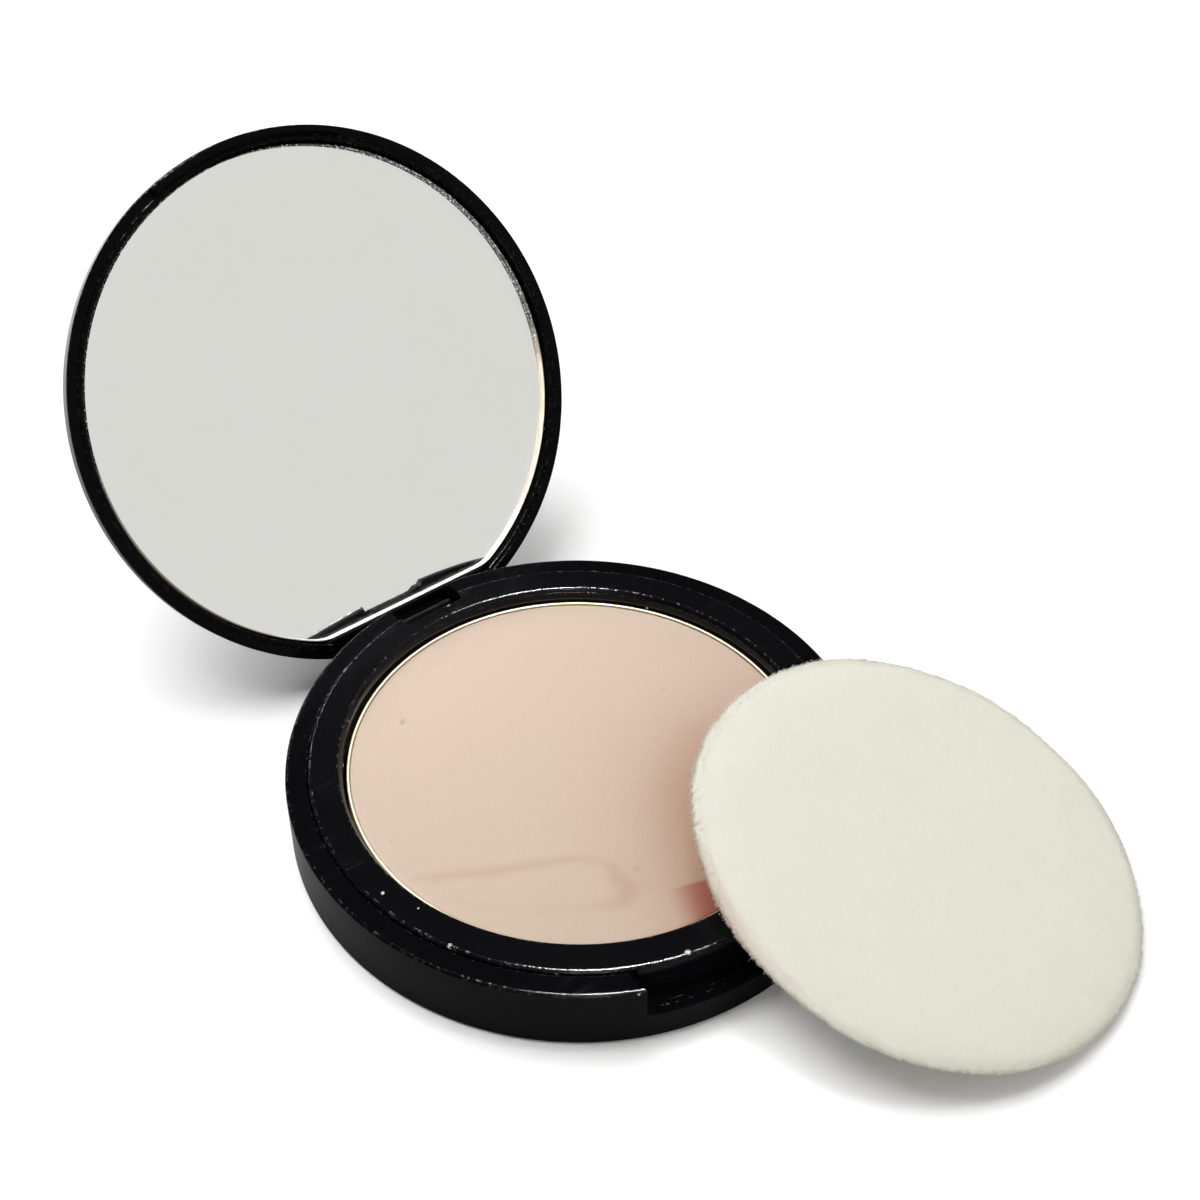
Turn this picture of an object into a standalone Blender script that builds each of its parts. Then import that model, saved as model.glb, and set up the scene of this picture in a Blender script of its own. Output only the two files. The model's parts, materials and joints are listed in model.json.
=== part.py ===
"""A round powder compact: black snap-shut case, pressed powder in a metal pan, lid mirror and velour puff.

Frame: the origin is the centre of the base's underside, +Z is up, +Y points to the hinge and -Y to the
thumb recess. The lid is drawn closed, about an empty on the hinge pin, and that empty holds it open.
"""

import math

import bpy
from mathutils import Matrix, Vector

MM = 0.001

# Driving dimensions of the case, in metres.
CASE_RADIUS = 37.5 * MM
LIP_HEIGHT = 9.3 * MM
RING_HEIGHT = 9.8 * MM
RING_OUTER = 34.6 * MM
LIP_INNER = 34.9 * MM
SHELL_INNER = 36.1 * MM
FLOOR_TOP = 1.2 * MM
WELL_RADIUS = 30.2 * MM
WELL_FLOOR = 3.7 * MM
CASE_SIDES = 72

# Pan, powder and the pad under the pan.
PAN_RADIUS = 29.8 * MM
PAN_WALL = 0.35 * MM
PAN_BOTTOM = 4.6 * MM
PAN_TOP = 7.9 * MM
POWDER_TOP = 7.75 * MM
PAD_RADIUS = 24.0 * MM

# Hinge: its axis runs along X through this point, and the lid stands open by this angle.
HINGE_Y = 34.7 * MM
HINGE_Z = 6.2 * MM
OPEN_ANGLE = math.radians(121.6)
NOTCH_HALF = 4.9 * MM
NOTCH_FRONT = 32.6 * MM
NOTCH_FLOOR = 2.4 * MM
EAR_OUTER = 10.9 * MM
EAR_TOP = 8.2 * MM
PIN_RADIUS = 0.75 * MM
PIN_HALF = 8.9 * MM
PIN_HOLE = 1.0 * MM
LUG_HALF = 4.5 * MM
LUG_BARREL = 1.7 * MM
RELIEF_RADIUS = 4.2 * MM
RELIEF_HALF = 13.5 * MM

# Thumb recess of the base and thumb lip of the lid.
RECESS_HALF = 16.3 * MM
RECESS_FLOOR = 4.35 * MM
LIP_HALF = 14.4 * MM
LIP_DROP = 0.9 * MM
BEAD_HALF = 5.0 * MM

# Lid, drawn closed.
LID_RADIUS = 37.15 * MM
LID_RIM = 9.5 * MM
LID_TOP = 15.9 * MM
LID_WALL_INNER = 36.0 * MM
FRAME_OUTER = 35.7 * MM
FRAME_INNER = 35.05 * MM
TRAY_FACE = 12.6 * MM
TRAY_BACK = 13.7 * MM
FLAT_Y = 32.1 * MM
FLAT_FACE = 10.1 * MM
MIRROR_RADIUS = 34.7 * MM
MIRROR_FLAT_Y = 31.9 * MM
GLASS_FACE = 10.4 * MM
GLASS_BACK = 11.7 * MM
BACKING_FACE = 11.8 * MM
BACKING_BACK = 12.0 * MM
TAPE_RADIUS = 29.0 * MM
TAPE_FACE = 12.1 * MM
TAPE_BACK = 12.5 * MM

# Puff: a soft disc that leans on the rim, its low edge just above the table.
PUFF_RADIUS = 29.0 * MM
PUFF_HALF = 1.6 * MM
PUFF_CENTRE = Vector((22.5, -37.5, 9.55)) * MM
PUFF_TILT = math.radians(15.9)
PUFF_HEADING = math.radians(-61.8)
PUFF_SIDES = 48

# Round label under the base.
LABEL_RADIUS = 20.0 * MM
LABEL_FACE = 0.05 * MM
LABEL_BACK = 0.20 * MM
LABEL_SEAT = 0.50 * MM

BLACK = (0.006, 0.006, 0.008, 1.0)
MERGE = 0.00002


def clear_scene():
    """Removes every object that the file opens with."""
    for ob in list(bpy.data.objects):
        bpy.data.objects.remove(ob, do_unlink=True)


def new_collection(name):
    group = bpy.data.collections.new(name)
    bpy.context.scene.collection.children.link(group)
    return group


def material(name, colour, roughness, metallic=0.0):
    """A Principled BSDF with one colour, roughness and metallic value."""
    mat = bpy.data.materials.new(name)
    mat.use_nodes = True
    shader = mat.node_tree.nodes["Principled BSDF"]
    shader.inputs["Base Color"].default_value = colour
    shader.inputs["Roughness"].default_value = roughness
    shader.inputs["Metallic"].default_value = metallic
    mat.diffuse_color = colour
    return mat


def place(ob, group, parent=None):
    """Moves an object to one collection and hangs it on its pivot, keeping its drawn coordinates."""
    for old in list(ob.users_collection):
        old.objects.unlink(ob)
    group.objects.link(ob)
    ob.parent = parent
    return ob


def finish(ob, mat):
    """Gives the object its material, and smooth faces with sharp corners kept."""
    ob.data.materials.clear()
    ob.data.materials.append(mat)
    ob.data.shade_smooth()
    ob.data.set_sharp_from_angle(angle=math.radians(35))
    return ob


def turned(name, profile, group, sides=CASE_SIDES, parent=None, offset=(0, 0, 0)):
    """Turns a profile of (radius, height) points about +Z with a Screw modifier."""
    mesh = bpy.data.meshes.new(name)
    verts = [(r, 0.0, z) for r, z in profile]
    edges = [(i, i + 1) for i in range(len(verts) - 1)]
    mesh.from_pydata(verts, edges, [])
    ob = bpy.data.objects.new(name, mesh)
    group.objects.link(ob)
    ob.parent = parent
    ob.location = offset
    screw = ob.modifiers.new("turn", "SCREW")
    screw.axis = "Z"
    screw.angle = math.tau
    screw.steps = sides
    screw.render_steps = sides
    screw.use_merge_vertices = True
    screw.merge_threshold = MERGE
    screw.use_smooth_shade = True
    return ob


def box(name, low, high, group, parent=None, offset=Vector((0, 0, 0))):
    """A box between two corners, its mesh drawn relative to the offset."""
    low, high = Vector(low) - offset, Vector(high) - offset
    bpy.ops.mesh.primitive_cube_add(size=1.0)
    ob = bpy.context.object
    ob.name = name
    size = high - low
    centre = (high + low) / 2
    ob.data.transform(Matrix.Translation(centre) @ Matrix.Diagonal((*size, 1.0)))
    return place(ob, group, parent)


def rod(name, radius, half, centre, group, parent=None, sides=32):
    """A cylinder along X, its mesh drawn about the given centre."""
    bpy.ops.mesh.primitive_cylinder_add(vertices=sides, radius=radius, depth=2 * half)
    ob = bpy.context.object
    ob.name = name
    ob.data.transform(Matrix.Translation(centre) @ Matrix.Rotation(math.pi / 2, 4, "Y"))
    return place(ob, group, parent)


def disc(name, radius, low, high, group, parent=None, sides=CASE_SIDES, offset=Vector((0, 0, 0))):
    """An upright cylinder between two heights, drawn relative to the offset."""
    bpy.ops.mesh.primitive_cylinder_add(vertices=sides, radius=radius, depth=high - low)
    ob = bpy.context.object
    ob.name = name
    ob.data.transform(Matrix.Translation(Vector((0, 0, (low + high) / 2)) - offset))
    return place(ob, group, parent)


def hide_cutter(ob):
    ob.hide_render = True
    ob.display_type = "WIRE"
    return ob


def combine(ob, other, operation):
    """Adds one exact Boolean to an object."""
    hide_cutter(other)
    mod = ob.modifiers.new(other.name, "BOOLEAN")
    mod.solver = "EXACT"
    mod.operation = operation
    mod.object = other
    return mod


def build_base_shell(parts, cutters, mat):
    """Outer base: floor, wall with an inward lip, hinge ears, rear notch and thumb recess."""
    profile = [
        (0.0, FLOOR_TOP),
        (LIP_INNER, FLOOR_TOP),
        (LIP_INNER, RECESS_FLOOR),
        (SHELL_INNER, RECESS_FLOOR),
        (SHELL_INNER, LIP_HEIGHT - 1.4 * MM),
        (LIP_INNER, LIP_HEIGHT - 1.4 * MM),
        (LIP_INNER, LIP_HEIGHT),
        (CASE_RADIUS - 0.2 * MM, LIP_HEIGHT),
        (CASE_RADIUS, LIP_HEIGHT - 0.2 * MM),
        (CASE_RADIUS, 0.6 * MM),
        (CASE_RADIUS - 0.2 * MM, 0.2 * MM),
        (CASE_RADIUS - 0.6 * MM, 0.0),
        (LABEL_RADIUS + 0.5 * MM, 0.0),
        (LABEL_RADIUS + 0.5 * MM, LABEL_SEAT),
        (0.0, LABEL_SEAT),
    ]
    shell = turned("base_shell", profile, parts)
    bound = disc("ear_bound", CASE_RADIUS - 0.7 * MM, 0.8 * MM, EAR_TOP, cutters)
    for side, name in ((-1, "ear_left"), (1, "ear_right")):
        ends = sorted((side * (NOTCH_HALF - 1.0 * MM), side * EAR_OUTER))
        ear = box(name, (ends[0], NOTCH_FRONT + 0.3 * MM, 0.0), (ends[1], 40 * MM, 12 * MM), cutters)
        combine(ear, bound, "INTERSECT")
        combine(shell, ear, "UNION")
    notch = box(
        "shell_notch",
        (-NOTCH_HALF, NOTCH_FRONT - 1.0 * MM, NOTCH_FLOOR),
        (NOTCH_HALF, CASE_RADIUS + 3 * MM, LIP_HEIGHT + 3 * MM),
        cutters,
    )
    combine(shell, notch, "DIFFERENCE")
    recess = box(
        "thumb_recess",
        (-RECESS_HALF, -CASE_RADIUS - 3 * MM, RECESS_FLOOR),
        (RECESS_HALF, -CASE_RADIUS / 2, LIP_HEIGHT + 3 * MM),
        cutters,
    )
    combine(shell, recess, "DIFFERENCE")
    hole = rod("pin_hole", PIN_HOLE, PIN_HALF + 0.4 * MM, Vector((0, HINGE_Y, HINGE_Z)), cutters)
    combine(shell, hole, "DIFFERENCE")
    return finish(shell, mat)


def build_base_insert(parts, cutters, mat):
    """Inner ring, well wall, well floor and outer skirt in one moulding, notched for the hinge."""
    profile = [
        (0.0, WELL_FLOOR),
        (WELL_RADIUS, WELL_FLOOR),
        (WELL_RADIUS, 7.9 * MM),
        (31.1 * MM, 9.35 * MM),
        (31.6 * MM, RING_HEIGHT),
        (RING_OUTER - 0.4 * MM, RING_HEIGHT),
        (RING_OUTER, RING_HEIGHT - 0.4 * MM),
        (RING_OUTER, FLOOR_TOP + 0.4 * MM),
        (RING_OUTER - 1.2 * MM, FLOOR_TOP + 0.4 * MM),
        (RING_OUTER - 1.2 * MM, 8.5 * MM),
        (31.9 * MM, 8.5 * MM),
        (31.3 * MM, 7.9 * MM),
        (31.3 * MM, 2.6 * MM),
        (0.0, 2.6 * MM),
    ]
    insert = turned("base_insert", profile, parts)
    web = box("insert_web", (-13 * MM, 27 * MM, 2.8 * MM), (13 * MM, NOTCH_FRONT + 0.5 * MM, 9 * MM), cutters)
    web_bound = disc("web_bound", RING_OUTER - 0.6 * MM, 0.0, 12 * MM, cutters)
    well = disc("well_core", WELL_RADIUS + 0.35 * MM, WELL_FLOOR - 0.5 * MM, 12 * MM, cutters)
    combine(web, web_bound, "INTERSECT")
    combine(web, well, "DIFFERENCE")
    combine(insert, web, "UNION")
    notch = box(
        "insert_notch",
        (-NOTCH_HALF, NOTCH_FRONT, 0.0),
        (NOTCH_HALF, 40 * MM, 12 * MM),
        cutters,
    )
    combine(insert, notch, "DIFFERENCE")
    ears = box(
        "insert_ear_room",
        (-EAR_OUTER - 0.4 * MM, NOTCH_FRONT, 0.0),
        (EAR_OUTER + 0.4 * MM, 40 * MM, 8.5 * MM),
        cutters,
    )
    combine(insert, ears, "DIFFERENCE")
    bead = box(
        "base_bead",
        (-BEAD_HALF, -RING_OUTER - 0.2 * MM, 9.02 * MM),
        (BEAD_HALF, -RING_OUTER + 0.9 * MM, 9.3 * MM),
        cutters,
    )
    combine(insert, bead, "UNION")
    return finish(insert, mat)


def build_pan(parts, mat):
    """The drawn metal pan."""
    inner = PAN_RADIUS - PAN_WALL
    profile = [
        (0.0, PAN_BOTTOM + 0.4 * MM),
        (inner, PAN_BOTTOM + 0.4 * MM),
        (inner, PAN_TOP),
        (PAN_RADIUS, PAN_TOP),
        (PAN_RADIUS, PAN_BOTTOM + 0.3 * MM),
        (PAN_RADIUS - 0.3 * MM, PAN_BOTTOM),
        (0.0, PAN_BOTTOM),
    ]
    return finish(turned("pan", profile, parts), mat)


def build_powder(parts, mat):
    """The pressed powder, a low puck with a soft edge."""
    radius = PAN_RADIUS - PAN_WALL - 0.3 * MM
    profile = [
        (0.0, POWDER_TOP),
        (radius - 0.25 * MM, POWDER_TOP),
        (radius, POWDER_TOP - 0.2 * MM),
        (radius, PAN_BOTTOM + 0.7 * MM),
        (0.0, PAN_BOTTOM + 0.7 * MM),
    ]
    return finish(turned("powder_cake", profile, parts), mat)


def build_lid_shell(parts, cutters, lid):
    """Outer cover with a crowned top and a rounded back edge, relieved at the hinge."""
    profile = [
        (0.0, LID_TOP),
        (14 * MM, LID_TOP - 0.07 * MM),
        (26 * MM, LID_TOP - 0.25 * MM),
        (33.4 * MM, LID_TOP - 0.62 * MM),
        (35.4 * MM, LID_TOP - 1.35 * MM),
        (36.5 * MM, LID_TOP - 2.5 * MM),
        (36.95 * MM, LID_TOP - 3.7 * MM),
        (LID_RADIUS, LID_RIM + 0.2 * MM),
        (LID_RADIUS - 0.2 * MM, LID_RIM),
        (LID_WALL_INNER, LID_RIM),
        (LID_WALL_INNER, 12.6 * MM),
        (35.0 * MM, 14.0 * MM),
        (0.0, 14.4 * MM),
    ]
    offset = Vector((0, HINGE_Y, HINGE_Z))
    shell = turned("lid_shell", [(r, z - HINGE_Z) for r, z in profile], parts, parent=lid,
                   offset=(0, -HINGE_Y, 0))
    lip_core = disc("lip_core", 36.0 * MM, 0.0, 20 * MM, cutters, lid, offset=offset)
    lip_bound = disc("lip_bound", LID_RADIUS - 0.2 * MM, 0.0, 20 * MM, cutters, lid, offset=offset)
    lip = box("thumb_lip", (-LIP_HALF, -38 * MM, LID_RIM - LIP_DROP), (LIP_HALF, -20 * MM, 10 * MM),
              cutters, lid, offset)
    combine(lip, lip_bound, "INTERSECT")
    combine(lip, lip_core, "DIFFERENCE")
    combine(shell, lip, "UNION")
    return shell


def relieve_hinge(ob, name, cutters, lid):
    """Cuts the room that the lid needs round the hinge axis and beside the base."""
    scoop = rod(name + "_scoop", RELIEF_RADIUS, RELIEF_HALF, Vector((0, 0, 0)), cutters, lid, 48)
    combine(ob, scoop, "DIFFERENCE")
    envelope = disc(name + "_envelope", CASE_RADIUS + 0.3 * MM, -1 * MM, LIP_HEIGHT + 0.4 * MM, cutters)
    combine(ob, envelope, "DIFFERENCE")


def build_mirror_frame(parts, cutters, lid, mat):
    """Inner frame of the lid: rim ring, mirror tray, hinge flat, hinge lug and latch bead."""
    offset = Vector((0, HINGE_Y, HINGE_Z))
    profile = [
        (0.0, TRAY_BACK),
        (34.4 * MM, TRAY_BACK),
        (FRAME_OUTER, 12.3 * MM),
        (FRAME_OUTER, LID_RIM),
        (FRAME_INNER, LID_RIM),
        (FRAME_INNER - 0.05 * MM, TRAY_FACE),
        (0.0, TRAY_FACE),
    ]
    frame = turned("mirror_frame", [(r, z - HINGE_Z) for r, z in profile], parts, parent=lid,
                   offset=(0, -HINGE_Y, 0))
    flat = box("hinge_flat", (-16 * MM, FLAT_Y, FLAT_FACE), (16 * MM, 40 * MM, TRAY_FACE + 0.5 * MM),
               cutters, lid, offset)
    flat_bound = disc("flat_bound", FRAME_OUTER - 0.3 * MM, 0.0, 20 * MM, cutters, lid, offset=offset)
    combine(flat, flat_bound, "INTERSECT")
    combine(frame, flat, "UNION")
    relieve_hinge(frame, "frame", cutters, lid)
    lug = box("hinge_lug", (-LUG_HALF, HINGE_Y - 1.6 * MM, HINGE_Z), (LUG_HALF, HINGE_Y + 0.6 * MM, 12.3 * MM),
              cutters, lid, offset)
    barrel = rod("hinge_barrel", LUG_BARREL, LUG_HALF, Vector((0, 0, 0)), cutters, lid)
    combine(frame, lug, "UNION")
    combine(frame, barrel, "UNION")
    bore = rod("lug_bore", PIN_HOLE, LUG_HALF + 2 * MM, Vector((0, 0, 0)), cutters, lid)
    combine(frame, bore, "DIFFERENCE")
    return finish(frame, mat)


def build_mirror(parts, cutters, lid, glass, silver, foam):
    """Glass, its silver coat and the foam tape, with the glass and coat cut flat by the hinge."""
    offset = Vector((0, HINGE_Y, HINGE_Z))
    layers = (
        ("mirror_glass", MIRROR_RADIUS, GLASS_FACE, GLASS_BACK, glass),
        ("mirror_backing", MIRROR_RADIUS - 0.1 * MM, BACKING_FACE, BACKING_BACK, silver),
        ("mirror_adhesive", TAPE_RADIUS, TAPE_FACE, TAPE_BACK, foam),
    )
    for name, radius, face, back, mat in layers:
        layer = disc(name, radius, face, back, parts, lid, offset=offset)
        if radius > MIRROR_FLAT_Y:
            cut = box(name + "_flat", (-30 * MM, MIRROR_FLAT_Y, 0.0), (30 * MM, 50 * MM, 20 * MM),
                      cutters, lid, offset)
            combine(layer, cut, "DIFFERENCE")
        finish(layer, mat)


def build_puff(parts, pivot, velour, foam):
    """Two velour halves that meet at the edge round a thin foam core, drawn about the puff's centre."""
    half = [
        (0.0, PUFF_HALF),
        (26.2 * MM, PUFF_HALF),
        (27.8 * MM, 1.3 * MM),
        (28.7 * MM, 0.75 * MM),
        (PUFF_RADIUS, 0.06 * MM),
        (28.1 * MM, 0.06 * MM),
        (27.2 * MM, 0.65 * MM),
        (0.0, 0.65 * MM),
    ]
    turned("puff_face", half, parts, PUFF_SIDES, pivot)
    turned("puff_back", [(r, -z) for r, z in reversed(half)], parts, PUFF_SIDES, pivot)
    core = disc("puff_filling", 26.8 * MM, -0.5 * MM, 0.5 * MM, parts, pivot, PUFF_SIDES)
    finish(bpy.data.objects["puff_face"], velour)
    finish(bpy.data.objects["puff_back"], velour)
    finish(core, foam)


def pivot_empty(name, location, rotation, group):
    """An empty that carries a moving body; it isn't a piece."""
    empty = bpy.data.objects.new(name, None)
    empty.location = location
    empty.rotation_euler = rotation
    group.objects.link(empty)
    return empty


def build():
    clear_scene()
    parts = new_collection("powder_compact")
    cutters = new_collection("cutters")
    black = material("gloss_black", BLACK, 0.12)
    pan_metal = material("pan_metal", (0.80, 0.72, 0.58, 1.0), 0.3, 1.0)
    powder = material("pressed_powder", (0.75, 0.61, 0.49, 1.0), 0.9)
    steel = material("pin_steel", (0.55, 0.54, 0.52, 1.0), 0.3, 1.0)
    glass = material("mirror_glass", (0.85, 0.87, 0.86, 1.0), 0.03)
    silver = material("mirror_silver", (0.90, 0.90, 0.89, 1.0), 0.05, 1.0)
    foam = material("white_foam", (0.85, 0.84, 0.80, 1.0), 0.9)
    velour = material("ivory_velour", (0.80, 0.78, 0.68, 1.0), 0.95)
    paper = material("label_paper", (0.82, 0.82, 0.80, 1.0), 0.7)

    build_base_shell(parts, cutters, black)
    build_base_insert(parts, cutters, black)
    build_pan(parts, pan_metal)
    build_powder(parts, powder)
    finish(disc("pan_adhesive", PAD_RADIUS, WELL_FLOOR + 0.2 * MM, PAN_BOTTOM - 0.2 * MM, parts), foam)
    finish(disc("underside_label", LABEL_RADIUS, LABEL_FACE, LABEL_BACK, parts), paper)
    pin_centre = Vector((0, HINGE_Y, HINGE_Z))
    finish(rod("hinge_pin", PIN_RADIUS, PIN_HALF, pin_centre, parts, sides=24), steel)

    lid = pivot_empty("lid_pivot", pin_centre, (-OPEN_ANGLE, 0, 0), parts)
    shell = build_lid_shell(parts, cutters, lid)
    relieve_hinge(shell, "cover", cutters, lid)
    finish(shell, black)
    build_mirror_frame(parts, cutters, lid, black)
    build_mirror(parts, cutters, lid, glass, silver, foam)

    puff = pivot_empty("puff_pivot", PUFF_CENTRE, (0, PUFF_TILT, PUFF_HEADING), parts)
    build_puff(parts, puff, velour, foam)


build()
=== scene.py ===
"""The finished look of a round powder compact: gloss black case, lid mirror, pressed powder, velour puff.

Lengths are metres. The case stands on the floor with its centre at the origin, +Z up and +Y to the hinge.
The lid's pieces are worked out closed, as they are moulded, and then turned open about the hinge pin.
"""

import json
import math

import bpy
import numpy as np
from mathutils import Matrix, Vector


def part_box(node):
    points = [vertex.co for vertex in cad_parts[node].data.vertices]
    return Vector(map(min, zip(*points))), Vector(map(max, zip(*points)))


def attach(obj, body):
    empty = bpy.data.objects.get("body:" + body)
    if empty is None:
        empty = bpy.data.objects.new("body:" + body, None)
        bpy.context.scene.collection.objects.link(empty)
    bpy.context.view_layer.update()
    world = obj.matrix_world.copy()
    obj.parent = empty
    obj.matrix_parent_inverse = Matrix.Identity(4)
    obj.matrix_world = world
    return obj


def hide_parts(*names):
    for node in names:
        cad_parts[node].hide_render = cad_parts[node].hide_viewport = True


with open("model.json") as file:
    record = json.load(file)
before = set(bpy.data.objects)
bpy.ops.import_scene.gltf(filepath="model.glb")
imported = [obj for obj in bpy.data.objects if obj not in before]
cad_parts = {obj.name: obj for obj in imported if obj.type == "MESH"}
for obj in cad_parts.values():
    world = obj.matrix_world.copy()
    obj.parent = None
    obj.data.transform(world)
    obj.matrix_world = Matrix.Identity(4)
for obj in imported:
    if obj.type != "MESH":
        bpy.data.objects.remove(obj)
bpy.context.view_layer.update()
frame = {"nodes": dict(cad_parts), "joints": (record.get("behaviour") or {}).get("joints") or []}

MM = 0.001
SEED = 11

HINGE = next(joint for joint in frame["joints"] if joint["name"] == "lid_hinge")
_, HINGE_Y, HINGE_Z = HINGE["pos_m"]
OPEN_ANGLE = math.radians(max(abs(limit) for limit in HINGE["range_deg"]))


def turn_open(points, way=1):
    """Turns closed-lid points about the hinge pin to where the open lid holds them, or back if way is -1."""
    cosine, sine = math.cos(OPEN_ANGLE), math.sin(OPEN_ANGLE) * way
    y, z = points[..., 1] - HINGE_Y, points[..., 2] - HINGE_Z
    turned = (points[..., 0], HINGE_Y + y * cosine + z * sine, HINGE_Z - y * sine + z * cosine)
    return np.stack(turned, axis=-1)


def node_points(node):
    """Vertices of a node of the frame."""
    return np.array([v.co for v in frame["nodes"][node].data.vertices])


def closed_box(node):
    """Lowest and highest corner of a lid node after it is turned back to closed."""
    back = turn_open(node_points(node), -1)
    return back.min(0), back.max(0)


# Sizes of the frame's own nodes.
CASE_RADIUS, _, LIP_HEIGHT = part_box("base_shell")[1]
RING_OUTER, _, RING_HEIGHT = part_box("base_insert")[1]
WEB_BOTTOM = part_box("base_insert")[0].z
PAN_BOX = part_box("pan")
POWDER_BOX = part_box("powder_cake")
PIN_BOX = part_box("hinge_pin")
LID_RADIUS, _, LID_TOP = closed_box("lid_shell")[1]
FRAME_RADIUS, _, FRAME_BACK = closed_box("mirror_frame")[1]
GLASS_RADIUS, GLASS_FLAT, GLASS_BACK = closed_box("mirror_glass")[1]
GLASS_FACE = closed_box("mirror_glass")[0][2]
COAT_BACK = closed_box("mirror_backing")[1][2]

# Sizes of the moulded details.
LIP_INNER = RING_OUTER + 0.1 * MM
FLOOR_TOP = 1.2 * MM
LABEL_SEAT = 0.5 * MM
LABEL_RADIUS = 20.5 * MM
WELL_RADIUS = 30.2 * MM
WELL_FLOOR = 3.7 * MM
RECESS_HALF = 16.3 * MM
RECESS_FLOOR = 4.35 * MM
NOTCH_HALF = 4.9 * MM
NOTCH_FRONT = 32.6 * MM
NOTCH_FLOOR = 2.4 * MM
LID_RIM = 9.5 * MM
LIP_HALF = 14.4 * MM
LIP_DROP = 0.9 * MM
RELIEF_HALF = 13.5 * MM
RELIEF_RADIUS = 4.2 * MM
RELIEF_CLEAR = 37.8 * MM
FRAME_INNER = 35.05 * MM
TRAY_FACE = 12.6 * MM
FLAT_Y = 32.1 * MM
FLAT_FACE = 10.1 * MM
LUG_HALF = 4.5 * MM
LUG_BARREL = 1.7 * MM
BLEND = 0.25 * MM


def smooth(t):
    """0 below 0, 1 above 1, and 3tt - 2ttt in between."""
    t = np.clip(t, 0.0, 1.0)
    return t * t * (3 - 2 * t)


def noise(x, y, size, seed, waves=24):
    """Soft random field in -1..1: the mean of plane waves of random direction and phase, about size long."""
    rng = np.random.default_rng(SEED + seed)
    angle = rng.uniform(0, 2 * np.pi, waves)
    count = 2 * np.pi / (size * rng.uniform(0.7, 1.5, waves))
    phase = rng.uniform(0, 2 * np.pi, waves)
    along = np.multiply.outer(x, np.cos(angle) * count) + np.multiply.outer(y, np.sin(angle) * count)
    return np.sin(along + phase).sum(-1) / math.sqrt(waves) * 0.7


# ---- meshes


def outline(corners, step):
    """A line through corners (across, up, fillet) whose corners are arcs of the fillet radius.

    An arc swings from one tangent point to the other about its centre. Straight stretches carry points
    at most step apart, with one close to each end so that flat faces stay flat. Returns the points and,
    for each, 1 on an arc and 0 elsewhere.
    """
    spots = np.array([corner[:2] for corner in corners], float)
    fillets = [corner[2] if len(corner) > 2 else 0.0 for corner in corners]
    arcs = [spots[:1]]
    for before, corner, after, fillet in zip(spots, spots[1:], spots[2:], fillets[1:]):
        back = (before - corner) / np.linalg.norm(before - corner)
        ahead = (after - corner) / np.linalg.norm(after - corner)
        half = math.acos(np.clip(back @ ahead, -1, 1)) / 2
        turn = math.pi - 2 * half
        if fillet == 0 or turn < 1e-4:
            arcs.append(corner[None])
            continue
        centre = corner + (back + ahead) / np.linalg.norm(back + ahead) * fillet / math.sin(half)
        reach = fillet / math.tan(half)
        t = np.linspace(0, 1, max(4, math.ceil(math.degrees(turn) / 11)))[:, None]
        start, end = corner + back * reach - centre, corner + ahead * reach - centre
        arcs.append(centre + (np.sin((1 - t) * turn) * start + np.sin(t * turn) * end) / math.sin(turn))
    arcs.append(spots[-1:])
    line, flags = [arcs[0]], [np.zeros(1)]
    for one, two in zip(arcs, arcs[1:]):
        gap = two[0] - one[-1]
        length = np.linalg.norm(gap)
        if length > 1e-7:
            near = min(0.06 * MM, length / 3) / length
            t = np.linspace(near, 1 - near, max(2, math.ceil(length * (1 - 2 * near) / step) + 1))[:, None]
            line.append(one[-1] + t * gap)
            flags.append(np.zeros(len(t)))
        line.append(two)
        flags.append(np.full(len(two), 1.0 if len(two) > 1 else 0.0))
    return np.concatenate(line), np.concatenate(flags)


def columns(step, crowded=()):
    """Angles round the axis in radians, step degrees apart, finer inside each crowded (low, high, step)."""
    angles = [np.arange(0, 360, step)]
    angles += [np.arange(low, high, fine) % 360 for low, high, fine in crowded]
    return np.radians(np.unique(np.round(np.concatenate(angles), 4)))


def both_sides(middle, low, high, fine):
    """The same crowded stretch on both sides of a middle angle."""
    return [(middle + low, middle + high, fine), (middle - high, middle - low, fine)]


def turned(contour, angles):
    """Grid of a contour (radius, height) carried round Z: x = r sin a, y = r cos a, z = height."""
    r, z = contour[:, :1], contour[:, 1:]
    x, y = r * np.sin(angles), r * np.cos(angles)
    return np.stack((x, y, np.broadcast_to(z, x.shape)), axis=-1)


def stand(name, data):
    """A new object at the origin for a mesh, a light or a lens."""
    piece = bpy.data.objects.new(name, data)
    bpy.context.scene.collection.objects.link(piece)
    return piece


def mark(mesh, title, values):
    """Keeps a value for each point of a mesh, for its material to read."""
    mesh.attributes.new(title, "FLOAT", "POINT").data.foreach_set("value", values.astype(np.float32))


def read(items, key="co", kind=np.float32):
    """Places or normals of a mesh's vertices or faces, as rows of three."""
    values = np.zeros(len(items) * 3, kind)
    items.foreach_get(key, values)
    return values.reshape(-1, 3)


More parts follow.
